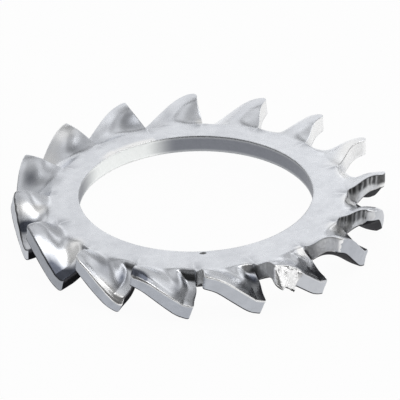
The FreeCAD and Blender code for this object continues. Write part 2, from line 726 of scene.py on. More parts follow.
class Value:
    """A number that varies over a surface, as a socket; arithmetic on it adds Math nodes."""

    def __init__(self, graph: "Graph", socket: bpy.types.NodeSocket) -> None:
        """Wraps a socket of a graph."""
        self.graph = graph
        self.socket = socket

    def maths(self, operation: str, *others: "Value | float", clamp: bool = False) -> "Value":
        """A Math node of this value and others."""
        return self.graph.maths(operation, self, *others, clamp=clamp)

    def __add__(self, other: "Value | float") -> "Value":
        """Sum."""
        return self.maths("ADD", other)

    __radd__ = __add__

    def __sub__(self, other: "Value | float") -> "Value":
        """Difference."""
        return self.maths("SUBTRACT", other)

    def __rsub__(self, other: float) -> "Value":
        """Difference from a number."""
        return self.graph.maths("SUBTRACT", other, self)

    def __mul__(self, other: "Value | float") -> "Value":
        """Product."""
        return self.maths("MULTIPLY", other)

    __rmul__ = __mul__

    def __neg__(self) -> "Value":
        """The value with its sign changed."""
        return self * -1.0

    def size(self) -> "Value":
        """The value without its sign."""
        return self.maths("ABSOLUTE")

    def above_zero(self) -> "Value":
        """The value where it is above 0, and 0 elsewhere."""
        return self.maths("MAXIMUM", 0.0)

    def held(self) -> "Value":
        """The value held between 0 and 1."""
        return self.above_zero().maths("MINIMUM", 1.0)

    def between(self, low: float, high: float) -> "Value":
        """How far the value has come from one number to another, eased at both ends.

        Args:
            low: The number that gives 0.
            high: The number that gives 1, which may be the smaller one.

        Returns:
            The share, from 0 to 1.
        """
        settings = {"interpolation_type": "SMOOTHSTEP"}
        inputs = {"Value": self, "From Min": low, "From Max": high}
        return self.graph.node("ShaderNodeMapRange", settings, inputs, "Result")


class Graph:
    """One material's node tree, to which nodes are added by what they do."""

    def __init__(self, name: str) -> None:
        """Starts an empty material.

        Args:
            name: The material's name.
        """
        self.material = bpy.data.materials.new(name)
        self.material.use_nodes = True
        self.tree = self.material.node_tree
        self.tree.nodes.clear()

    def add(self, kind: str, settings: dict, inputs: dict) -> bpy.types.Node:
        """Adds a node.

        Args:
            kind: The node's type.
            settings: Its own settings, set first.
            inputs: For each input's name or number, a value or the Value that is linked to it.

        Returns:
            The node.
        """
        made = self.tree.nodes.new(kind)
        for setting, value in settings.items():
            setattr(made, setting, value)
        for key, value in inputs.items():
            if isinstance(value, Value):
                self.tree.links.new(value.socket, made.inputs[key])
            else:
                made.inputs[key].default_value = value
        return made

    def node(self, kind: str, settings: dict, inputs: dict, output: str | int = 0) -> Value:
        """One output of a new node, by its name or number."""
        return Value(self, self.add(kind, settings, inputs).outputs[output])

    def maths(self, operation: str, *operands: Value | float, clamp: bool = False) -> Value:
        """A Math node of values and numbers."""
        settings = {"operation": operation, "use_clamp": clamp}
        return self.node("ShaderNodeMath", settings, dict(enumerate(operands)))

    def vectors(self, operation: str, *operands: Value | tuple, output: str | int = 0) -> Value:
        """A Vector Math node of vectors."""
        settings = {"operation": operation}
        return self.node("ShaderNodeVectorMath", settings, dict(enumerate(operands)), output)

    def scaled(self, vector: Value, scale: float) -> Value:
        """A vector multiplied by a number."""
        inputs = {0: vector, "Scale": scale}
        return self.node("ShaderNodeVectorMath", {"operation": "SCALE"}, inputs)

    def length(self, vector: Value) -> Value:
        """The length of a vector."""
        return self.vectors("LENGTH", vector, output="Value")

    def axis(self, vector: Value, name: str) -> Value:
        """One coordinate of a vector: X, Y or Z."""
        return self.node("ShaderNodeSeparateXYZ", {}, {0: vector}, name)

    def carried(self, mark: Mark, output: str = "Fac") -> Value:
        """What the surface's points carry under a name."""
        return self.node("ShaderNodeAttribute", {"attribute_name": mark.value}, {}, output)

    def grain(self, vector: Value, scale: float, detail: float = 2.0) -> Value:
        """Noise from 0 to 1 over places, with about that many patches in a unit of length."""
        inputs = {"Vector": vector, "Scale": scale, "Detail": detail}
        return self.node("ShaderNodeTexNoise", {}, inputs, "Fac")

    def blend(self, share: Value, first: Value | Colour, second: Value | Colour) -> Value:
        """A colour between two colours."""
        inputs = {0: share, 6: first, 7: second}
        return self.node("ShaderNodeMix", {"data_type": "RGBA"}, inputs, 2)

    def finish(self, surface: Value) -> bpy.types.Material:
        """Makes a shader the material's surface, and gives back the material."""
        self.add("ShaderNodeOutputMaterial", {}, {"Surface": surface})
        return self.material


@dataclass(frozen=True)
class Zones:
    """Which part of the washer each point of its surface belongs to.

    Attributes:
        place: The point's place, in millimetres.
        out: -1 on the bore, 0 on the root line, 1 on the rim.
        across: -1 on a tooth's raised edge, 1 on its lowered edge.
        depth: 1 on the upper face of the sheet, -1 on the lower face.
        wall: 1 on all the cut edges, 0 elsewhere.
        rim: 1 on the ends of the teeth.
        bore: 1 on the wall of the bore.
        raised: 1 on the teeth's raised flanks, and on the torn corner of a streaked tooth.
        lowered: 1 on the teeth's lowered flanks.
        beneath: 1 on the undersides of the teeth whose raised flanks are torn at all; painted shade
            goes there.
        burr: 1 on the burr.
    """

    place: Value
    out: Value
    across: Value
    depth: Value
    wall: Value
    rim: Value
    bore: Value
    raised: Value
    lowered: Value
    beneath: Value
    burr: Value

    @classmethod
    def found(cls, graph: Graph) -> "Zones":
        """Works out the zones from what the surface's points carry.

        Args:
            graph: The material's graph.

        Returns:
            The zones, as values of that graph.
        """
        coordinates = graph.node("ShaderNodeTexCoord", {}, {}, "Object")
        out, across = graph.carried(Mark.OUT), graph.carried(Mark.ACROSS)
        depth, streaks = graph.carried(Mark.DEPTH), graph.carried(Mark.STREAKS)
        wall = depth.size().between(0.985, 0.93)
        rim = wall * out.between(0.96, 0.99)
        flank = wall * out.between(0.0, 0.05) * (1 - rim)
        torn_corner = rim * streaks.between(0.9, 1.0) * across.between(-0.6, -0.8)
        beneath = depth.between(-0.8, -0.93) * out.between(0.0, 0.25)
        return cls(
            place=graph.scaled(coordinates, 1 / MM),
            out=out,
            across=across,
            depth=depth,
            wall=wall,
            rim=rim,
            bore=wall * out.between(-0.96, -0.99),
            raised=flank * across.between(-0.9, -0.97) + torn_corner,
            lowered=flank * across.between(0.9, 0.97),
            beneath=beneath * streaks.between(0.0, 0.1),
            burr=graph.carried(Mark.BURR),
        )


@dataclass(frozen=True)
class ZincPlate:
    """Bright zinc plate on spring steel: satin on the faces, duller and torn where it is sheared,
    with painted shade and painted highlights laid over it.

    Its grains are given as the number of their patches in a millimetre.
    """

    nick_centre: tuple[float, float, float]

    # Colours
    light: Colour = (0.82, 0.842, 0.885, 1.0)
    shade: Colour = (0.69, 0.71, 0.755, 1.0)
    rim_light: Colour = (0.535, 0.56, 0.61, 1.0)
    rim_shade: Colour = (0.37, 0.39, 0.43, 1.0)
    # Painted shade, for the dark patches and the slit roots
    dulled: Colour = (0.098, 0.107, 0.133, 1.0)
    # Painted highlight, and the burnish of the raised flanks
    burnished: Colour = (0.97, 0.97, 0.97, 1.0)
    # Painted glint on the burr
    bare: Colour = (1.0, 1.0, 1.0, 1.0)
    dull: Colour = (0.46, 0.46, 0.45, 1.0)
    torn_light: Colour = (0.55, 0.55, 0.55, 1.0)
    # Dark of the torn streaks, also painted shade on the sheared steps, the rims and the rim lines
    torn_dark: Colour = (0.05, 0.05, 0.05, 1.0)
    # Painted shade on the lowered flanks
    lowered_light: Colour = (0.16, 0.16, 0.18, 1.0)
    lowered_dark: Colour = (0.015, 0.015, 0.018, 1.0)
    # Painted shade on the undersides
    underside: Colour = (0.05, 0.05, 0.055, 1.0)
    # Painted highlight and reflection on the bore's wall, and its painted shade
    bore_light: Colour = (0.98, 1.0, 0.99, 1.0)
    bore_dark: Colour = (0.24, 0.25, 0.28, 1.0)

    # Grains
    cloud_grain: float = 0.55
    mottle_grain: float = 2.4
    smudge_grain: float = 1.6
    root_grain: float = 1.1
    rim_grain: float = 1.3
    rim_line_grain: float = 4.0
    corner_line_grain: float = 4.5
    torn_line_grain: float = 1.8
    streak_grain: float = 5.0
    bent_streak_grain: float = 2.0
    lowered_grain: float = 3.0
    fine_grain: float = 3.5
    grit_grain: float = 11.0

    # Marks: how strongly they cover, how ragged they are, where they lie and how far apart
    torn_cover: float = 0.9
    cloud_cover: float = 0.55
    mottle_cover: float = 0.9
    shade_cover: float = 0.15
    root_cover: float = 0.5
    bore_edge_cover: float = 0.3
    bar_cover: float = 0.75
    speck_cover: float = 0.3
    rim_line_ragged: float = 0.05
    corner_line_ragged: float = 0.22
    torn_line_ragged: float = 1.2
    torn_line_rise: float = 0.85
    torn_line_drop: float = 0.75
    torn_line_root: float = 0.6
    lowered_ragged: float = 0.6
    streak_pitch: float = 0.3
    streak_bend: float = 9.0
    nick_stretch: tuple[float, float, float] = (4.6, 8.0, 4.0)

    # Where the painted reflection on the bore lies, in millimetres: each pair runs from dark to
    # bright
    rubbed_from_left: tuple[float, float] = (-6.3, -4.6)
    rubbed_from_right: tuple[float, float] = (0.0, -2.0)
    rubbed_from_front: tuple[float, float] = (0.0, 2.0)

    # Polish
    face_roughness: float = 0.23
    cut_roughness: float = 0.4
    fine_roughness: float = 0.1
    burr_gloss: float = 0.15
    hidden_roughness: float = 0.6
    fine_height: float = 0.12
    bump_strength: float = 0.25
    bump_height: float = 0.02

    def material(self) -> bpy.types.Material:
        """Builds the material.

        Returns:
            The material.
        """
        graph = Graph(SLOT_NAME)
        zones = Zones.found(graph)
        fine = graph.grain(zones.place, self.fine_grain, 1.0)
        grit = graph.grain(zones.place, self.grit_grain).between(0.3, 0.75)
        roughness = self.face_roughness + self.fine_roughness * fine
        roughness = roughness + (self.cut_roughness - self.face_roughness) * zones.wall
        roughness = roughness - self.burr_gloss * zones.burr
        roughness = roughness + self.hidden_roughness * (zones.beneath + zones.lowered)
        relief = {
            "Strength": self.bump_strength,
            "Distance": self.bump_height * MM,
            "Height": fine * self.fine_height + grit * (zones.wall + zones.burr),
        }
        inputs = {
            "Base Color": self.colour(graph, zones),
            "Metallic": 1.0,
            "Roughness": roughness,
            "Normal": graph.node("ShaderNodeBump", {}, relief, "Normal"),
        }
        return graph.finish(graph.node("ShaderNodeBsdfPrincipled", {}, inputs, "BSDF"))

    def colour(self, graph: Graph, zones: Zones) -> Value:
        """Colour of the whole washer, with each zone laid over the ones before it.

        Args:
            graph: The material's graph.
            zones: The parts of the washer.

        Returns:
            The colour.
        """
        # Painted shade on the wall of the sheared step beside each lowered edge
        torn = graph.carried(Mark.TORN).between(0.02, 0.3)
        colour = graph.blend(torn * self.torn_cover, self.face(graph, zones), self.torn_dark)
        colour = graph.blend(zones.rim, colour, self.rim(graph, zones))
        colour = self.rim_line(graph, zones, colour)
        # Painted shade under the teeth
        colour = graph.blend(zones.beneath, colour, self.underside)
        colour = graph.blend(zones.bore, colour, self.bore(graph, zones))
        # The nick is painted near black
        colour = graph.blend(self.nicked(graph, zones) * self.torn_cover, colour, self.torn_dark)
        colour = graph.blend(zones.raised, colour, self.raised_flank(graph, zones))
        colour = self.corner_line(graph, zones, colour)
        colour = graph.blend(zones.lowered, colour, self.lowered_flank(graph, zones))
        # The burr is painted dark, with a painted glint on its lower face
        burr = zones.burr.between(0.1, 0.5)
        colour = graph.blend(burr, colour, self.torn_dark)
        return graph.blend(burr * zones.depth.between(-0.97, -0.85), colour, self.bare)

    def face(self, graph: Graph, zones: Zones) -> Value:
        """Colour of the two faces: satin zinc with faint clouds, painted patches of shade and
        highlight, and painted shade at the slit roots.

        Args:
            graph: The material's graph.
            zones: The parts of the washer.

        Returns:
            The colour.
        """
        cloud = graph.grain(zones.place, self.cloud_grain, 3.0).between(0.35, 0.68)
        mottle = (graph.grain(zones.place, self.mottle_grain, 1.0) - 0.5) * self.mottle_cover
        shaded = cloud * self.cloud_cover + (mottle + self.shade_cover)
        colour = graph.blend(shaded, self.light, self.shade)
        # Painted patches: painted shade above 0, painted highlight below 0
        uneven = 0.75 + graph.grain(zones.place, self.smudge_grain, 3.0) * 0.5
        smudge = graph.carried(Mark.SMUDGE) * uneven
        # Painted shade at the slit roots on the ring
        root = graph.carried(Mark.EDGE_GAP).between(0.75, 0.0)
        root = root * zones.out.between(-0.7, -0.5) * zones.out.between(0.12, -0.05)
        root = root * graph.grain(zones.place, self.root_grain).between(0.2, 0.7)
        colour = graph.blend((smudge + root * self.root_cover).held(), colour, self.dulled)
        return graph.blend((-smudge).held(), colour, self.burnished)

    def rim(self, graph: Graph, zones: Zones) -> Value:
        """Colour of the teeth's ends: a mottled grey, with a painted highlight on some teeth and
        painted shade on others.

        Args:
            graph: The material's graph.
            zones: The parts of the washer.

        Returns:
            The colour.
        """
        mottle = graph.grain(zones.place, self.rim_grain, 4.0)
        mottled = graph.blend(mottle, self.rim_light, self.rim_shade)
        # Painted highlight above 0 and painted shade below 0 on the rim, tooth by tooth
        shine = graph.carried(Mark.RIM_SHINE)
        mottled = graph.blend((-shine).above_zero(), mottled, self.torn_dark)
        return graph.blend(shine.above_zero(), mottled, self.burnished)

    def rim_line(self, graph: Graph, zones: Zones, colour: Value) -> Value:
        """Paints a ragged line along the upper edge of the teeth's ends: a painted highlight, and
        on teeth whose rim_light is below 0, painted shade.

        Args:
            graph: The material's graph.
            zones: The parts of the washer.
            colour: The colour beneath.

        Returns:
            The colour with the line.
        """
        strength = graph.carried(Mark.RIM_LIGHT)
        ragged = (graph.grain(zones.place, self.rim_line_grain, 3.0) - 0.5) * self.rim_line_ragged
        line = (zones.out + ragged).between(0.955, 0.985) * zones.depth.between(0.75, 0.93)
        colour = graph.blend(line * strength.above_zero(), colour, self.burnished)
        return graph.blend(line * (-strength).above_zero(), colour, self.torn_dark)

    def corner_line(self, graph: Graph, zones: Zones, colour: Value) -> Value:
        """Paints a bright ragged line down the raised corner of the teeth's ends, as a painted
        highlight.

        Args:
            graph: The material's graph.
            zones: The parts of the washer.
            colour: The colour beneath.

        Returns:
            The colour with the line.
        """
        grain = graph.grain(zones.place, self.corner_line_grain, 3.0)
        ragged = (grain - 0.5) * self.corner_line_ragged
        line = (zones.out + ragged).between(0.92, 0.94)
        line = line * (zones.across + ragged).between(-0.9, -0.93)
        line = line * zones.depth.between(-0.9, -0.6)
        return graph.blend(line * graph.carried(Mark.CORNER_LIGHT), colour, self.burnished)

    def nicked(self, graph: Graph, zones: Zones) -> Value:
        """1 inside the nick beside the bore, 0 elsewhere."""
        away = graph.vectors("SUBTRACT", zones.place, self.nick_centre)
        return graph.length(graph.vectors("MULTIPLY", away, self.nick_stretch)).between(1.1, 0.7)

    def bore(self, graph: Graph, zones: Zones) -> Value:
        """Colour of the bore's wall: painted shade as a dark band, paler edges as a painted
        highlight, and a painted reflection at one place.

        Args:
            graph: The material's graph.
            zones: The parts of the washer.

        Returns:
            The colour.
        """
        x, y = graph.axis(zones.place, "X"), graph.axis(zones.place, "Y")
        # Painted reflection on the bore's wall
        reflection = x.between(*self.rubbed_from_left) * x.between(*self.rubbed_from_right)
        reflection = reflection * y.between(*self.rubbed_from_front)
        edges = zones.depth.size().between(0.55, 0.95)
        paler = reflection + edges * self.bore_edge_cover
        return graph.blend(paler, self.bore_dark, self.bore_light)

    def raised_flank(self, graph: Graph, zones: Zones) -> Value:
        """Colour of the raised flanks: torn and streaked above; below, burnish with a painted
        highlight.

        Args:
            graph: The material's graph.
            zones: The parts of the washer.

        Returns:
            The colour.
        """
        flat = graph.carried(Mark.FLAT_PLACE, "Vector")
        # Burnish with a painted highlight, tooth by tooth
        smooth = graph.blend(graph.carried(Mark.SHINE), self.dull, self.burnished)
        line = graph.grain(flat, self.torn_line_grain) * self.torn_line_ragged
        above = zones.depth - (line - self.torn_line_drop) + zones.out * self.torn_line_rise
        torn = (above - self.torn_line_root).between(-0.3, 0.3)
        turns = graph.length(flat) * (2 * math.pi / self.streak_pitch)
        bend = graph.grain(flat, self.bent_streak_grain) * self.streak_bend
        bars = (turns + bend).maths("SINE") * 0.5 + 0.5
        specks = graph.grain(zones.place, self.streak_grain) * self.speck_cover
        streak = bars.between(0.25, 0.95) * self.bar_cover + specks
        streaked = graph.blend(streak, self.torn_dark, self.torn_light)
        return graph.blend(torn * graph.carried(Mark.STREAKS), smooth, streaked)

    def lowered_flank(self, graph: Graph, zones: Zones) -> Value:
        """Colour of the lowered flanks: painted shade, dark grey high up and nearly black low down,
        with a ragged border between.

        Args:
            graph: The material's graph.
            zones: The parts of the washer.

        Returns:
            The colour.
        """
        grain = graph.grain(zones.place, self.lowered_grain, 3.0)
        # Painted shade, darkest low down
        torn = (zones.depth + grain * self.lowered_ragged).between(1.0, 0.5)
        return graph.blend(torn, self.lowered_light, self.lowered_dark)


@dataclass(frozen=True)
class PaleFloor:
    """Matt floor that shows nearly white, and keeps the washer's shadow.

    Attributes:
        colour: Its colour under the lamps, which also lights the washer from below.
        glow: How much of what is seen of it is plain white.
    """

    colour: Colour = (0.9, 0.9, 0.9, 1.0)
    glow: float = 0.96

    def material(self) -> bpy.types.Material:
        """Builds the material.

        Returns:
            The material.
        """
        graph = Graph("pale_floor")
        matt = graph.node("ShaderNodeBsdfDiffuse", {}, {"Color": self.colour})
        white = graph.node("ShaderNodeEmission", {}, {"Color": WHITE, "Strength": 1.0})
        rays = graph.add("ShaderNodeLightPath", {}, {}).outputs
        seen = Value(graph, rays["Is Camera Ray"]) + Value(graph, rays["Is Glossy Ray"])
        seen = seen.maths("ADD", Value(graph, rays["Is Transmission Ray"]), clamp=True)
        inputs = {0: seen * self.glow, 1: matt, 2: white}
        return graph.finish(graph.node("ShaderNodeMixShader", {}, inputs))


class Bench:
    """Selecting and editing one mesh at a time with Blender's own operators."""

    @staticmethod
    def take(thing: bpy.types.Object) -> None:
        """Selects one object and nothing else, and makes it the active one.

        Args:
            thing: The object.
        """
        bpy.ops.object.select_all(action="DESELECT")
        thing.select_set(True)
        bpy.context.view_layer.objects.active = thing

    @staticmethod
    def pick(thing: bpy.types.Object, kind: Element, chosen: np.ndarray) -> None:
        """Opens an object's mesh for editing with only the chosen elements selected.

        Args:
            thing: The object.
            kind: The kind of element.
            chosen: One true or false for each element of that kind.
        """
        Bench.take(thing)
        bpy.ops.object.mode_set(mode="EDIT")
        bpy.ops.mesh.select_mode(type=kind.value)
        bpy.ops.mesh.select_all(action="DESELECT")
        bpy.ops.object.mode_set(mode="OBJECT")
        mesh = thing.data
        elements = {
            Element.POINT: mesh.vertices,
            Element.EDGE: mesh.edges,
            Element.FACE: mesh.polygons,
        }
        elements[kind].foreach_set("select", chosen.astype(bool))
        bpy.ops.object.mode_set(mode="EDIT")

    @staticmethod
    def close() -> None:
        """Closes the mesh that is being edited."""
        bpy.ops.object.mode_set(mode="OBJECT")

    @staticmethod
    def read(thing: bpy.types.Object, mark: Mark) -> np.ndarray:
        """The number that each point of a mesh carries under a name.

        Args:
            thing: The mesh's object.
            mark: The name.

        Returns:
            One number for each point.
        """
        values = np.zeros(len(thing.data.vertices), np.float32)
        thing.data.attributes[mark.value].data.foreach_get("value", values)
        return values.astype(float)

    @staticmethod
    def write(thing: bpy.types.Object, mark: Mark, values: np.ndarray) -> None:
        """Gives each point of a mesh a number or a vector to carry under a name.

        Args:
            thing: The mesh's object.
            mark: The name.
            values: One number, or one row of three, for each point.
        """
        form, field_name = ("FLOAT", "value") if values.ndim == 1 else ("FLOAT_VECTOR", "vector")
        held = thing.data.attributes.get(mark.value)
        held = held or thing.data.attributes.new(mark.value, form, "POINT")
        held.data.foreach_set(field_name, values.astype(np.float32).ravel())

    @staticmethod
    def points(thing: bpy.types.Object) -> np.ndarray:
        """The places of a mesh's points.

        Args:
            thing: The mesh's object.

        Returns:
            One row for each point.
        """
        places = np.zeros(len(thing.data.vertices) * 3, np.float32)
        thing.data.vertices.foreach_get("co", places)
        return places.reshape(-1, 3).astype(float)

    @staticmethod
    def move_points(thing: bpy.types.Object, places: np.ndarray) -> None:
        """Puts a mesh's points at new places."""
        thing.data.vertices.foreach_set("co", places.astype(np.float32).ravel())
        thing.data.update()


@dataclass
class Washer:
    """The toothed lock washer: a ring and sixteen pressed teeth, all one sheet of steel.

    Attributes:
        blank: The flat blank.
        press: The press tool.
        traits: The traits of the teeth that differ from the usual.
        smudges: The patches of painted shade and painted highlight.
        burr: The torn lip on one tooth.
        nick: The dent beside the bore.
        ring_rows: Rows of the ring's grid, from -1 on the bore to 0 on the root line.
        tooth_rows: Rows of a tooth's grid, from 0 on the root line to 1 on the rim.
        columns: Columns of both, in millimetres along the rim from the raised edge.
        wall_split: Height of the points within the cut edges, as a share of half the sheet.
        weld_reach: How close the points of two sectors lie where they are joined.
        edge_crease: How sharp smoothing leaves the sheared edges.
        smoothing_levels: How often smoothing divides the grid.
        torn_rise: How far out a torn-back flank edge reaches its full depth, as a share.
        torn_level: How far out it starts to fade, as a share.
        torn_fade: How far it takes to fade, as a share.
        raised_pull: How fast a pull on the raised edge falls off across the tooth.
        bevel_run: How far from the raised edge the bevel reaches, in the units of across.
        rim_rounds: How often the rim's distance is worked out anew from its own height.
        roll_reach: How far from the rim the faces start to roll, in millimetres.
        torn_peak: Where the wall of the sheared step lies, as a share of its run.
        raggedness: How uneven the sheared edges are, in millimetres.
        rags_in_a_millimetre: How close together the unevenness is.
        ragged_from: Where the sheared flanks start to be uneven, as a share of the tooth.
        edge_share: From where a point counts as on an edge or a face, as a share.
    """

    blank: Blank
    press: Press = field(default_factory=Press)
    traits: dict[int, Traits] = field(default_factory=dict)
    smudges: tuple[PaintedPatch, ...] = ()
    burr: Burr = field(default_factory=Burr)
    nick: Nick = field(default_factory=Nick)
    ring_rows: tuple[float, ...] = (-1, -0.92, -0.35, -0.05)
    tooth_rows: tuple[float, ...] = (0, 0.04, 0.1, 0.21, 0.36, 0.55, 0.76, 0.94, 1)
    columns: tuple[float, ...] = (
        0, 0.1, 0.4, 0.85, 1.3, 1.8, 2.3, 2.8, 3.22, 3.4, 3.68, 3.92, 4.02,
    )
    wall_split: float = 0.15
    weld_reach: float = 0.004
    edge_crease: float = 0.62
    smoothing_levels: int = 2
    torn_rise: float = 0.05
    torn_level: float = 0.1
    torn_fade: float = 0.55
    raised_pull: int = 3
    bevel_run: float = 1.6
    rim_rounds: int = 8
    roll_reach: float = 0.4
    torn_peak: float = 0.6
    raggedness: float = 0.035
    rags_in_a_millimetre: float = 3.0
    ragged_from: float = 0.3
    edge_share: float = 0.99

    def build(self) -> bpy.types.Object:
        """Models the washer as it is made: cut flat, slit into teeth, pressed, then worn.

        Returns:
            The finished object, at the origin and in metres.
        """
        sector = self.cut_sector()
        self.give_thickness(sector)
        washer = self.copy_round(sector)
        self.weld(washer)
        self.crease_edges(washer)
        self.press_teeth(washer)
        self.smooth(washer)
        self.wear(washer)
        self.note_places(washer)
        self.bring_to_metres(washer)
        washer.name = washer.data.name = PIECE_NAME
        return washer

    def cut_sector(self) -> bpy.types.Object:
        """Lays out one sixteenth of the blank as a flat grid: part of the ring and a tooth.

        Returns:
            The sector, level with the sheet's upper face.
        """
        rows = np.array(self.ring_rows + self.tooth_rows)
        columns = np.array(self.columns)
        shares = 2 * (columns - columns[0]) / (columns[-1] - columns[0]) - 1
        bpy.ops.object.select_all(action="DESELECT")
        bpy.ops.mesh.primitive_grid_add(
            x_subdivisions=len(rows) - 1,
            y_subdivisions=len(shares) - 1,
            size=1,
            location=(0, 0, 0),
        )
        sector = bpy.context.active_object
        places = Bench.points(sector)
        row = np.rint((places[:, 0] + 0.5) * (len(rows) - 1)).astype(int)
        column = np.rint((places[:, 1] + 0.5) * (len(shares) - 1)).astype(int)
        out, across = rows[row], shares[column]
        Bench.write(sector, Mark.OUT, out)
        Bench.write(sector, Mark.ACROSS, across)
        x, y = self.blank.flat_place(out, across)
        Bench.move_points(sector, np.stack([x, y, np.full_like(x, self.blank.thickness / 2)], 1))
        return sector

    def give_thickness(self, sector: bpy.types.Object) -> None:
        """Extrudes the flat sector down to the sheet's lower face, and opens its inner sides.

        Args:
            sector: The flat sector.
        """
        Bench.pick(sector, Element.FACE, np.ones(len(sector.data.polygons)))
        upper = self.blank.thickness * (1 - self.wall_split) / 2
        for height in (upper, self.blank.thickness - upper):
            bpy.ops.mesh.extrude_region_move(TRANSFORM_OT_translate={"value": (0, 0, -height)})
        Bench.close()
        Bench.write(sector, Mark.DEPTH, Bench.points(sector)[:, 2] * 2 / self.blank.thickness)
        out, across = Bench.read(sector, Mark.OUT), Bench.read(sector, Mark.ACROSS)
        inner = [
            any(np.all((out[face] <= 0) & (across[face] == side)) for side in (-1, 1))
            for face in (list(polygon.vertices) for polygon in sector.data.polygons)
        ]
        Bench.pick(sector, Element.FACE, np.array(inner))
        bpy.ops.mesh.delete(type="FACE")
        Bench.close()

    def copy_round(self, sector: bpy.types.Object) -> bpy.types.Object:
        """Copies the sector around the axis, each copy with its own mesh, and joins them.

        Args:
            sector: The sector of tooth 0.

        Returns:
            The whole blank.
        """
        sectors = [sector]
        Bench.write(sector, Mark.TOOTH, np.zeros(len(sector.data.vertices)))
        for count in range(1, self.blank.tooth_count):
            Bench.take(sector)
            bpy.ops.object.duplicate(linked=False)
            copy = bpy.context.active_object
            Bench.write(copy, Mark.TOOTH, np.full(len(copy.data.vertices), float(count)))
            copy.rotation_euler.z = 2 * self.blank.half_pitch * count
            bpy.ops.object.transform_apply(location=False, rotation=True, scale=False)
            sectors.append(copy)
        Bench.take(sector)
        for copy in sectors:
            copy.select_set(True)
        bpy.ops.object.join()
        return bpy.context.active_object

    def weld(self, washer: bpy.types.Object) -> None:
        """Joins the sectors' points along the ring and turns every face outwards.

        Args:
            washer: The blank.
        """
        Bench.pick(washer, Element.POINT, np.ones(len(washer.data.vertices)))
        bpy.ops.mesh.remove_doubles(threshold=self.weld_reach)
        bpy.ops.mesh.normals_make_consistent(inside=False)
        Bench.close()

    def crease_edges(self, washer: bpy.types.Object) -> None:
        """Marks the sheared outline on both faces, so that smoothing leaves small round edges.

        Args:
            washer: The blank.
        """
        out, across = Bench.read(washer, Mark.OUT), Bench.read(washer, Mark.ACROSS)
        depth = Bench.read(washer, Mark.DEPTH)
        pairs = np.zeros(len(washer.data.edges) * 2, np.int32)
        washer.data.edges.foreach_get("vertices", pairs)
        start, end = pairs.reshape(-1, 2).T
        level = np.abs(np.abs(depth[start]) - 1) < TINY
        level &= np.abs(depth[start] - depth[end]) < TINY
        rim = np.minimum(out[start], out[end]) > 1 - TINY
        bore = np.maximum(out[start], out[end]) < TINY - 1
        flank = np.minimum(np.abs(across[start]), np.abs(across[end])) > 1 - TINY
        flank &= np.maximum(out[start], out[end]) > 0
        Bench.pick(washer, Element.EDGE, level & (rim | bore | flank))
        bpy.ops.transform.edge_crease(value=self.edge_crease)
        Bench.close()

    def press_teeth(self, washer: bpy.types.Object) -> None:
        """Presses the teeth: points move from their places in the blank to those in the S.

        Args:
            washer: The blank.
        """
        blank, press = self.blank, self.press
        out, across = Bench.read(washer, Mark.OUT), Bench.read(washer, Mark.ACROSS)
        depth, tooth = Bench.read(washer, Mark.DEPTH), Bench.read(washer, Mark.TOOTH)
        own = Traits.spread(self.traits, tooth)
        rim = self.rim_distance(across, depth, own)
        distance = blank.root_distance + np.maximum(out, 0) * (rim - blank.root_distance)
        y, z = press.pressed(blank, distance, across, depth, own)
        near_raised = ((1 - across) / 2) ** self.raised_pull
        y += own.drawn_back * ease(np.maximum(out, 0)) * near_raised
        torn = ease(out / self.torn_rise) * (1 - ease((out - self.torn_level) / self.torn_fade))
        y += own.torn_back * torn * near_raised * (1 + depth) / 2
        ring_x, ring_y = blank.ring_place(np.minimum(out, 0), across)
        on_tooth = out > 0
        x = np.where(on_tooth, distance, ring_x)
        y = np.where(on_tooth, y, ring_y)
        z = np.where(on_tooth, z, depth * blank.thickness / 2)
        turn = tooth * 2 * blank.half_pitch
        follows = np.clip(out + 1, 0, 1)
        places = [
            x * np.cos(turn) - y * np.sin(turn) + blank.teeth_off_centre[0] * follows,
            x * np.sin(turn) + y * np.cos(turn) + blank.teeth_off_centre[1] * follows,
            z,
        ]
        Bench.move_points(washer, np.stack(places, 1))

    def rim_distance(self, across: np.ndarray, depth: np.ndarray, own: Traits) -> np.ndarray:
        """How far out the rim lies along the radial line of a tooth, with its corners rounded.

        Args:
            across: -1 on the raised edge, 1 on the lowered edge.
            depth: 1 on the upper face of the sheet, -1 on the lower face.
            own: The traits of each point's own tooth.

        Returns:
            The distances from the axis.
        """
        blank, press = self.blank, self.press
        rim = np.full_like(across, blank.rim_radius)
        bevel = own.bevel * depth * ease((1 - across) / self.bevel_run)
        for _ in range(self.rim_rounds):
            y, z = press.pressed(blank, rim, across, depth, own)
            reach = blank.rim_radius + own.longer - bevel + press.rim_flare * z
            rim = np.sqrt(reach**2 - y**2)
        from_edge = (1 - np.abs(across)) / 2 * blank.rim_width()
        radius = np.where(across < 0, own.blunt, blank.lowered_corner_radius)
        bite = np.clip(radius - from_edge, 0, radius)
        return rim - radius + np.sqrt(radius**2 - bite**2)

    def smooth(self, washer: bpy.types.Object) -> None:
        """Rounds the whole sheet with a Subdivision Surface, and applies it.

        Args:
            washer: The pressed washer.
        """
        Bench.take(washer)
        smoother = washer.modifiers.new("round", "SUBSURF")
        smoother.levels = smoother.render_levels = self.smoothing_levels
        bpy.ops.object.modifier_apply(modifier=smoother.name)
        bpy.ops.object.shade_smooth()

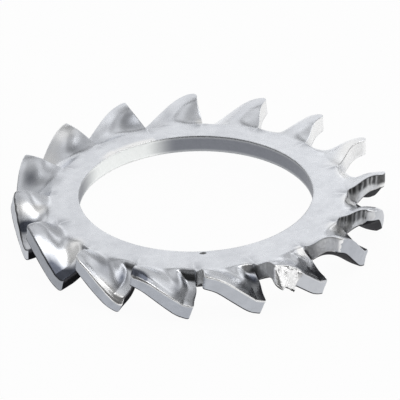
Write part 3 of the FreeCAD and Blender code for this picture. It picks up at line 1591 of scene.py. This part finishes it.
    def wear(self, washer: bpy.types.Object) -> None:
        """Adds what shearing and handling left: rolled rims, ragged cuts, a burr and a nick.

        Args:
            washer: The smoothed washer.
        """
        out, across = Bench.read(washer, Mark.OUT), Bench.read(washer, Mark.ACROSS)
        depth, tooth = Bench.read(washer, Mark.DEPTH), Bench.read(washer, Mark.TOOTH)
        own = Traits.spread(self.traits, tooth)
        places = Bench.points(washer)
        to_rim = (1 - out) * self.blank.tooth_length
        near_rim = np.where(out > 0, (1 - np.clip(to_rim / self.roll_reach, 0, 1)) ** 2, 0)
        places[:, 2] -= own.roll * (1 + own.roll_lean * across) * near_rim * (1 + depth) / 2
        places[:, 2] += own.tuck * near_rim * (1 - depth) / 2
        places[:, 2] -= self.nick.sink(self.blank, places)
        places += self.burr.moves(places, self.burr.amount(out, across, tooth), depth)
        sheared = (np.abs(depth) < self.edge_share) & (out > self.ragged_from)
        sheared &= (out > self.edge_share) | (np.abs(across) > self.edge_share)
        for index in np.flatnonzero(sheared):
            place = Vector(places[index]) * self.rags_in_a_millimetre
            side = places[index, :2] / np.hypot(*places[index, :2])
            places[index, :2] += side * self.raggedness * noise.noise(place)
        Bench.move_points(washer, places)

    def note_places(self, washer: bpy.types.Object) -> None:
        """Gives each point what the zinc's colour follows, such as its place in the flat blank, and
        where shade and highlights are painted.

        Args:
            washer: The worn washer.
        """
        out, across = Bench.read(washer, Mark.OUT), Bench.read(washer, Mark.ACROSS)
        tooth = Bench.read(washer, Mark.TOOTH)
        own = Traits.spread(self.traits, tooth)
        x, y = self.blank.flat_place(out, across)
        to_bore = (out + 1) * self.blank.ring_width
        to_rim = (1 - out) * self.blank.tooth_length
        to_flank = (1 - np.abs(across)) / 2 * self.blank.width(x)
        to_slit = np.where(out > 0, to_flank, np.hypot(to_flank, out * self.blank.ring_width))
        turn = tooth * 2 * self.blank.half_pitch
        flat_x = x * np.cos(turn) - y * np.sin(turn)
        flat_y = x * np.sin(turn) + y * np.cos(turn)
        run = out * self.blank.tooth_length
        stepped = self.press.step_down(run, (1 - across) / 2 * self.blank.width(x))
        falling = np.clip(1 - np.abs(run / self.press.step_run - self.torn_peak), 0, 1)
        # Painted patches: shade above 0, highlight below 0
        patches = (smudge.amount(out, across, tooth) for smudge in self.smudges)
        painted_amount = sum(patches, np.zeros_like(out))
        notes = {
            Mark.EDGE_GAP: np.minimum(np.minimum(to_bore, to_rim), to_slit),
            Mark.FLAT_PLACE: np.stack([flat_x, flat_y, 0 * x], 1),
            Mark.STREAKS: own.streaks,
            Mark.SHINE: own.shine,
            Mark.BURR: self.burr.amount(out, across, tooth),
            Mark.RIM_LIGHT: own.rim_light,
            Mark.RIM_SHINE: own.rim_shine,
            Mark.CORNER_LIGHT: own.corner_light,
            Mark.SMUDGE: painted_amount,
            # Painted shade on the wall of the sheared step
            Mark.TORN: own.step * stepped * falling * np.clip(1 + painted_amount, 0, 1),
        }
        for mark, values in notes.items():
            Bench.write(washer, mark, values)

    def bring_to_metres(self, washer: bpy.types.Object) -> None:
        """Scales the mesh from millimetres to metres, with its object left unscaled.

        Args:
            washer: The washer.
        """
        Bench.take(washer)
        washer.scale = (MM, MM, MM)
        bpy.ops.object.transform_apply(location=True, rotation=True, scale=True)

    def dress(self, washer: bpy.types.Object) -> None:
        """Gives the washer its zinc plate, and says which part of the frame it stands for.

        Args:
            washer: The washer.
        """
        plate = ZincPlate(nick_centre=self.nick.centre(self.blank))
        washer.data.materials.clear()
        washer.data.materials.append(plate.material())
        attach(washer, BODY_NAME)
        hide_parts(CAD_NODE)


@dataclass(frozen=True)
class Lamp:
    """A rectangular soft box that points at the washer; lengths in metres.

    Attributes:
        name: Its name.
        bearing: Where it stands round the axis, in degrees.
        elevation: How high it stands, in degrees above the ring.
        width: Its width.
        height: Its height.
        radiance: How bright its surface is.
        distance: How far it stands from the washer.
    """

    name: str
    bearing: float
    elevation: float
    width: float
    height: float
    radiance: float
    distance: float = 0.5

    def place(self) -> bpy.types.Object:
        """Adds the lamp to the scene.

        Returns:
            The lamp.
        """
        data = bpy.data.lights.new(self.name, "AREA")
        data.shape = "RECTANGLE"
        data.size, data.size_y = self.width, self.height
        data.energy = self.radiance * math.pi * self.width * self.height
        lamp = bpy.data.objects.new(self.name, data)
        towards = direction(self.bearing, self.elevation)
        lamp.location = towards * self.distance
        lamp.rotation_euler = towards.to_track_quat("Z", "Y").to_euler()
        bpy.context.scene.collection.objects.link(lamp)
        return lamp


@dataclass(frozen=True)
class Studio:
    """A pale floor, soft boxes around the washer, and the camera.

    Attributes:
        floor_height: Height of the floor, in metres.
        floor_size: Length of its sides, in metres.
        floor_finish: Its finish.
        world_level: How bright the even grey surround is.
        camera_distance: How far the camera stands from the washer, in metres.
        camera_bearing: Where it stands round the axis, in degrees.
        camera_elevation: How high it stands, in degrees above the ring.
        camera_roll: How far it leans, in degrees.
        pixels_per_mm: Size of the washer in the picture.
        picture_width: Width of the picture, in pixels.
        centre_x: Where the washer's middle lies in the picture, from its left side.
        centre_y: The same, from its top.
        sensor_width: Width of the camera's sensor, in millimetres.
        camera_range: The nearest and the furthest that the camera sees, in metres.
        lamps: The soft boxes.
    """

    floor_height: float
    floor_size: float = 3.0
    floor_finish: PaleFloor = field(default_factory=PaleFloor)
    world_level: float = 0.12
    camera_distance: float = 0.267
    camera_bearing: float = 261.02
    camera_elevation: float = 29.52
    camera_roll: float = -1.469
    pixels_per_mm: float = 18.045
    picture_width: int = 400
    centre_x: float = 196.06
    centre_y: float = 200.34
    sensor_width: float = 36.0
    camera_range: tuple[float, float] = (0.01, 10.0)
    lamps: tuple[Lamp, ...] = (
        Lamp("overhead_box", bearing=90, elevation=84, width=0.56, height=0.56, radiance=0.31),
        Lamp("back_box", bearing=104, elevation=23, width=0.6, height=0.4, radiance=0.77),
        Lamp("left_box", bearing=160, elevation=52, width=0.5, height=0.4, radiance=0.4),
        Lamp("far_right_box", bearing=42, elevation=52, width=0.4, height=0.4, radiance=0.3),
        Lamp("right_box", bearing=9, elevation=24, width=0.5, height=0.34, radiance=0.78),
        Lamp("slot_box", bearing=56, elevation=17, width=0.34, height=0.36, radiance=0.42),
        Lamp("key_box", bearing=322, elevation=60, width=0.2, height=0.32, radiance=2.05),
        Lamp("low_box", bearing=328, elevation=22, width=0.3, height=0.26, radiance=1.0),
    )

    def build(self) -> None:
        """Lays the floor, sets the world and the lamps, and aims the camera."""
        things = [self.lay_floor()]
        self.set_world()
        things += [lamp.place() for lamp in self.lamps]
        things.append(self.aim_camera())
        bpy.context.scene.view_settings.view_transform = "Standard"
        for thing in things:
            log.info("%s: %s", thing.name, thing.type.lower())

    def lay_floor(self) -> bpy.types.Object:
        """Lays the floor under the washer.

        Returns:
            The floor.
        """
        bpy.ops.object.select_all(action="DESELECT")
        bpy.ops.mesh.primitive_plane_add(size=self.floor_size, location=(0, 0, self.floor_height))
        floor = bpy.context.active_object
        floor.name = "floor"
        floor.data.materials.append(self.floor_finish.material())
        floor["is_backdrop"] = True
        return floor

    def set_world(self) -> None:
        """Surrounds the washer with an even grey."""
        world = bpy.data.worlds.new("surround")
        world.use_nodes = True
        background = world.node_tree.nodes["Background"]
        background.inputs["Color"].default_value = WHITE
        background.inputs["Strength"].default_value = self.world_level
        bpy.context.scene.world = world

    def aim_camera(self) -> bpy.types.Object:
        """Puts the camera at the photograph's distance, height and roll.

        Returns:
            The camera.
        """
        data = bpy.data.cameras.new("camera")
        camera = bpy.data.objects.new("camera", data)
        data.sensor_width = self.sensor_width
        focal_pixels = self.pixels_per_mm * self.camera_distance / MM
        data.lens = focal_pixels * self.sensor_width / self.picture_width
        data.shift_x = 0.5 - self.centre_x / self.picture_width
        data.shift_y = self.centre_y / self.picture_width - 0.5
        data.clip_start, data.clip_end = self.camera_range
        back = direction(self.camera_bearing, self.camera_elevation)
        aim = (-back).to_track_quat("-Z", "Y").to_matrix().to_4x4()
        roll = Matrix.Rotation(math.radians(self.camera_roll), 4, "Z")
        camera.matrix_world = Matrix.Translation(back * self.camera_distance) @ aim @ roll
        bpy.context.scene.collection.objects.link(camera)
        bpy.context.scene.camera = camera
        return camera


def main() -> None:
    """Builds the washer from the frame's sizes, dresses it, logs its face count and sets the
    studio.
    """
    logging.basicConfig(level=logging.INFO, format="%(name)s: %(message)s")
    mounts = {mount["name"]: mount for mount in frame["record"]["mounts"]}
    top, bottom = mounts["top_face"]["pos_m"][2], mounts["bottom_face"]["pos_m"][2]
    blank = Blank(bore_radius=mounts["bore"]["dims"]["r_mm"], thickness=(top - bottom) / MM)
    maker = Washer(blank, traits=TEETH, smudges=PAINTED_PATCHES)
    washer = maker.build()
    maker.dress(washer)
    log.info("%s: %d faces", washer.name, len(washer.data.polygons))
    Studio(floor_height=min(cad_box[0].z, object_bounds()[0].z)).build()


if __name__ == "__main__":
    main()
